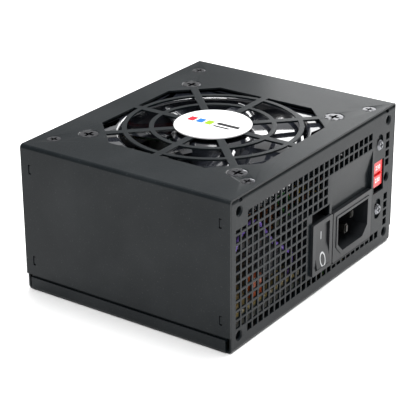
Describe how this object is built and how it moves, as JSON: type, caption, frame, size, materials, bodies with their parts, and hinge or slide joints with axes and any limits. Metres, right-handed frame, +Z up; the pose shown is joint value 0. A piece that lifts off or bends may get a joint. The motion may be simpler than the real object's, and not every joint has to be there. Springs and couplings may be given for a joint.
{
  "type": "computer power supply unit",
  "caption": "Folded steel box that turns mains into computer supply voltages, with a top fan grille, vented end, mains inlet, rocker switch and voltage selector.",
  "frame": {"origin": "middle of the underside, on the plane that the unit stands on", "axes": "+Z up; -Y out of the mains face; +X to the right as the mains face is seen from outside"},
  "size_m": [0.125, 0.1034, 0.0642],
  "materials": {
    "case_paint": "fine textured black powder coat",
    "black_screws": "black zinc plate",
    "bright_screws": "bright nickel plate",
    "badge": "smooth white film",
    "fan_plastic": "glossy black moulding",
    "plated_steel": "bright zinc plate",
    "magnet": "bonded ferrite",
    "bearing_bronze": "sintered bronze",
    "copper_wire": "enamelled copper",
    "green_board": "solder mask",
    "tan_board": "paper laminate",
    "black_plastic": "fine textured moulding",
    "rocker_plastic": "satin black moulding",
    "red_plastic": "satin red moulding",
    "blade_nickel": "nickel-plated brass",
    "tinned_brass": "tinned",
    "insulation": "translucent film",
    "brass_parts": "bright brass",
    "fuse_glass": "clear tube",
    "thermistor_coat": "dipped resin",
    "yellow_case": "moulded case",
    "blue_coat": "dipped resin",
    "ferrite": "ground ferrite",
    "standby_core": "ground ferrite",
    "epoxy_package": "moulded epoxy",
    "capacitor_sleeve": "shrink sleeve",
    "heatsink_aluminium": "plain extruded",
    "yellow_tape": "polyester tape",
    "powdered_iron": "painted iron powder",
    "orange_film": "dipped film",
    "nylon": "natural nylon",
    "green_wire": "plastic insulation",
    "mains_wire": "plastic insulation",
    "fan_wire": "plastic insulation",
    "purple_wire": "plastic insulation"
  },
  "bodies": {
    "case": {"base_tray": "case_paint", "mains_panel": "case_paint", "cable_panel": "case_paint", "top_cover": "case_paint", "cover_screws": "black_screws", "grille_badge": "badge", "fan_frame": "fan_plastic", "fan_bearing": "bearing_bronze", "fan_stator": "plated_steel", "fan_coils": "copper_wire", "fan_board": "green_board", "fan_screws": "black_screws", "inlet_housing": "black_plastic", "inlet_blades": "blade_nickel", "switch_housing": "black_plastic", "switch_terminals": "tinned_brass", "selector_housing": "black_plastic", "selector_screws": "bright_screws", "selector_terminals": "tinned_brass", "insulation_sheet": "insulation", "main_board": "tan_board", "board_standoffs": "brass_parts", "board_screws": "bright_screws", "fuse": "fuse_glass", "fuse_clips": "plated_steel", "surge_thermistor": "thermistor_coat", "x_capacitor": "yellow_case", "y_capacitors": "blue_coat", "filter_choke_core": "ferrite", "filter_choke_coils": "copper_wire", "bridge_rectifier": "epoxy_package", "bulk_capacitors": "capacitor_sleeve", "primary_heatsink": "heatsink_aluminium", "switching_transistors": "epoxy_package", "transformer_core": "ferrite", "transformer_winding": "yellow_tape", "driver_transformer": "ferrite", "standby_transformer": "standby_core", "secondary_heatsink": "heatsink_aluminium", "output_rectifiers": "epoxy_package", "device_screws": "bright_screws", "output_choke_core": "powdered_iron", "output_choke_coil": "copper_wire", "output_capacitors": "capacitor_sleeve", "film_capacitor": "orange_film", "control_board": "green_board", "control_chip": "black_plastic", "fan_header": "nylon", "cable_grommet": "black_plastic", "earth_screw": "brass_parts", "earth_wire": "green_wire", "mains_wires": "mains_wire", "fan_lead": "fan_wire", "jumper_wire": "purple_wire"},
    "fan": {"fan_impeller": "fan_plastic", "rotor_yoke": "plated_steel", "rotor_magnet": "magnet", "fan_shaft": "plated_steel"},
    "rocker": {"switch_rocker": "rocker_plastic"},
    "selector": {"selector_slider": "red_plastic"}
  },
  "joints": [
    {"name": "fan_spin", "type": "hinge", "parent": "case", "child": "fan", "pos_m": [-0.0025, -0.0012, 0.0547], "axis": [0, 0, 1], "continuous": true},
    {"name": "rocker_tilt", "type": "hinge", "parent": "case", "child": "rocker", "pos_m": [0.0024, -0.0489, 0.0206], "axis": [1, 0, 0], "range_deg": [0, 10]},
    {"name": "selector_slide", "type": "slide", "parent": "case", "child": "selector", "axis": [0, 0, -1], "range_m": [0, 0.002]}
  ]
}
